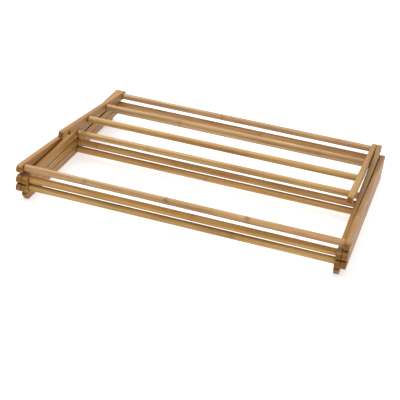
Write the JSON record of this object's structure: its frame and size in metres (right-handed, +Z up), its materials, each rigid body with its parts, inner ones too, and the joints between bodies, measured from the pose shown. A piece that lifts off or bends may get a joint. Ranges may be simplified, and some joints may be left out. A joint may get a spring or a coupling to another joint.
{
  "type": "folding drying rack",
  "caption": "Wooden accordion drying rack with crossed side slats, round rails and a hinged top shelf, shown folded flat.",
  "frame": {"origin": "on the floor plane under the middle of the folded rack's bounding box", "axes": "+Z up; +X along the dowels towards the right-hand side; +Y from the front end, where the shelf hooks on, to the back end, where the shelf is hinged"},
  "size_m": [0.66, 0.5002, 0.0994],
  "materials": {
    "outer_slat_wood": "satin clear-coated",
    "inner_slat_wood": "satin clear-coated",
    "shelf_slat_wood": "satin clear-coated",
    "front_dowel_wood": "satin clear-coated",
    "middle_dowel_wood": "satin clear-coated",
    "back_dowel_wood": "satin clear-coated",
    "shelf_dowel_wood": "satin clear-coated"
  },
  "bodies": {
    "base": {"middle_dowel_2": "middle_dowel_wood"},
    "inner_1": {"inner_slat_1_left": "inner_slat_wood", "inner_slat_1_right": "inner_slat_wood", "middle_dowel_1": "middle_dowel_wood", "back_dowel_1": "back_dowel_wood"},
    "outer_1": {"outer_slat_1_left": "outer_slat_wood", "outer_slat_1_right": "outer_slat_wood", "front_dowel_1": "front_dowel_wood"},
    "inner_2": {"inner_slat_2_left": "inner_slat_wood", "inner_slat_2_right": "inner_slat_wood", "back_dowel_2": "back_dowel_wood"},
    "outer_2": {"outer_slat_2_left": "outer_slat_wood", "outer_slat_2_right": "outer_slat_wood", "front_dowel_2": "front_dowel_wood"},
    "inner_3": {"inner_slat_3_left": "inner_slat_wood", "inner_slat_3_right": "inner_slat_wood", "middle_dowel_3": "middle_dowel_wood", "back_dowel_3": "back_dowel_wood"},
    "outer_3": {"outer_slat_3_left": "outer_slat_wood", "outer_slat_3_right": "outer_slat_wood", "front_dowel_3": "front_dowel_wood"},
    "shelf": {"shelf_slat_left": "shelf_slat_wood", "shelf_slat_right": "shelf_slat_wood", "shelf_dowel_1": "shelf_dowel_wood", "shelf_dowel_2": "shelf_dowel_wood"}
  },
  "joints": [
    {"name": "unfold", "type": "hinge", "parent": "base", "child": "inner_2", "pos_m": [0, 0, 0.03487], "axis": [1, 0, 0], "range_deg": [0, 46.06]},
    {"name": "middle_cross", "type": "hinge", "parent": "base", "child": "outer_2", "pos_m": [0, 0, 0.03487], "axis": [-1, 0, 0], "range_deg": [0, 46.07]},
    {"name": "front_low", "type": "hinge", "parent": "inner_2", "child": "outer_1", "pos_m": [0, -0.23284, 0.02611], "axis": [-1, 0, 0], "range_deg": [0, 92.13]},
    {"name": "bottom_cross", "type": "hinge", "parent": "outer_1", "child": "inner_1", "pos_m": [0, 0, 0.01736], "axis": [1, 0, 0], "range_deg": [0, 92.13]},
    {"name": "front_high", "type": "hinge", "parent": "outer_2", "child": "inner_3", "pos_m": [0, -0.23284, 0.04362], "axis": [1, 0, 0], "range_deg": [0, 91.58]},
    {"name": "top_cross", "type": "hinge", "parent": "inner_3", "child": "outer_3", "pos_m": [0, -0.0001, 0.05461], "axis": [-1, 0, 0], "range_deg": [0, 91.03]},
    {"name": "shelf_lift", "type": "hinge", "parent": "inner_3", "child": "shelf", "pos_m": [0, 0.23264, 0.06562], "axis": [-1, 0, 0], "range_deg": [0, 41.99]}
  ],
  "couplings": [
    {"joint": "middle_cross", "follows": "unfold", "ratio": 1},
    {"joint": "front_low", "follows": "unfold", "ratio": 2},
    {"joint": "bottom_cross", "follows": "unfold", "ratio": 2},
    {"joint": "front_high", "follows": "unfold", "ratio": 1.988},
    {"joint": "top_cross", "follows": "unfold", "ratio": 1.976}
  ]
}
